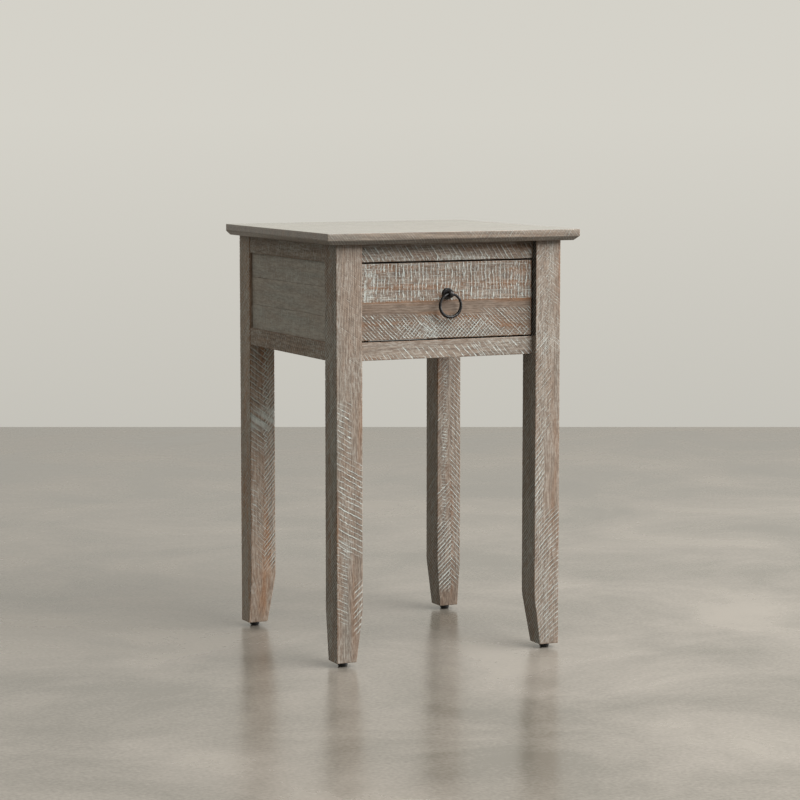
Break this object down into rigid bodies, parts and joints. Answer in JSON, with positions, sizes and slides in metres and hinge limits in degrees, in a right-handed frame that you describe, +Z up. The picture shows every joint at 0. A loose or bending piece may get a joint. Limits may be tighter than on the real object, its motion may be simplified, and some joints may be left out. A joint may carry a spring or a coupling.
{
  "type": "side table",
  "caption": "Square side table in rough-sawn limed pine with tapered feet, panelled sides and a shallow drawer opened by a hanging iron ring.",
  "frame": {"origin": "on the floor under the middle of the table top", "axes": "+Z up, -Y the drawer side, +X to the right when facing the drawer"},
  "size_m": [0.41, 0.397, 0.635],
  "materials": {
    "limed_pine": "rough-sawn pine, grey-brown stain with white lime wax left in the saw marks",
    "limed_pine_top": "smooth-sanded pine, pale grey-brown stain, thin clear wax",
    "plain_pine": "planed bare pine",
    "plywood": "bare birch plywood",
    "beech": "turned bare beech",
    "zinc_steel": "zinc-plated steel",
    "black_iron": "forged iron, oiled black",
    "black_plastic": "moulded nylon, matt"
  },
  "bodies": {
    "frame": {"back_bottom_rail": "limed_pine", "back_panel_board_1": "limed_pine", "back_panel_board_2": "limed_pine", "back_panel_board_3": "limed_pine", "back_top_rail": "limed_pine", "closing_stop_left": "plain_pine", "closing_stop_right": "plain_pine", "front_bottom_rail": "limed_pine", "front_top_rail": "limed_pine", "glide_back_left": "black_plastic", "glide_back_right": "black_plastic", "glide_front_left": "black_plastic", "glide_front_right": "black_plastic", "glide_nails": "zinc_steel", "guide_left": "plain_pine", "guide_right": "plain_pine", "kicker_left": "plain_pine", "kicker_right": "plain_pine", "left_bottom_rail": "limed_pine", "left_panel_board_1": "limed_pine", "left_panel_board_2": "limed_pine", "left_panel_board_3": "limed_pine", "left_top_rail": "limed_pine", "leg_back_left": "limed_pine", "leg_back_right": "limed_pine", "leg_front_left": "limed_pine", "leg_front_right": "limed_pine", "opening_stop": "plain_pine", "rail_dowels": "beech", "right_bottom_rail": "limed_pine", "right_panel_board_1": "limed_pine", "right_panel_board_2": "limed_pine", "right_panel_board_3": "limed_pine", "right_top_rail": "limed_pine", "runner_left": "plain_pine", "runner_right": "plain_pine", "runner_screws": "zinc_steel", "top_board_1": "limed_pine_top", "top_board_2": "limed_pine_top", "top_board_3": "limed_pine_top", "top_board_4": "limed_pine_top", "top_fixing_screws": "zinc_steel"},
    "drawer": {"drawer_front_upper": "limed_pine", "drawer_front_lower": "limed_pine", "drawer_side_left": "plain_pine", "drawer_side_right": "plain_pine", "drawer_back": "plain_pine", "drawer_bottom": "plywood", "drawer_pins": "beech", "drawer_bottom_screws": "zinc_steel", "drawer_stop_tab": "plain_pine", "stop_tab_screws": "zinc_steel", "pull_rosette": "black_iron", "pull_eye_post": "black_iron", "pull_washer": "zinc_steel", "pull_nut": "zinc_steel"},
    "ring": {"pull_ring": "black_iron"}
  },
  "joints": [
    {"name": "drawer_slide", "type": "slide", "parent": "frame", "child": "drawer", "axis": [0, -1, 0], "range_m": [0, 0.24]},
    {"name": "ring_swing", "type": "hinge", "parent": "drawer", "child": "ring", "pos_m": [0, -0.1785, 0.5425], "axis": [-1, 0, 0], "range_deg": [-14, 194]}
  ]
}
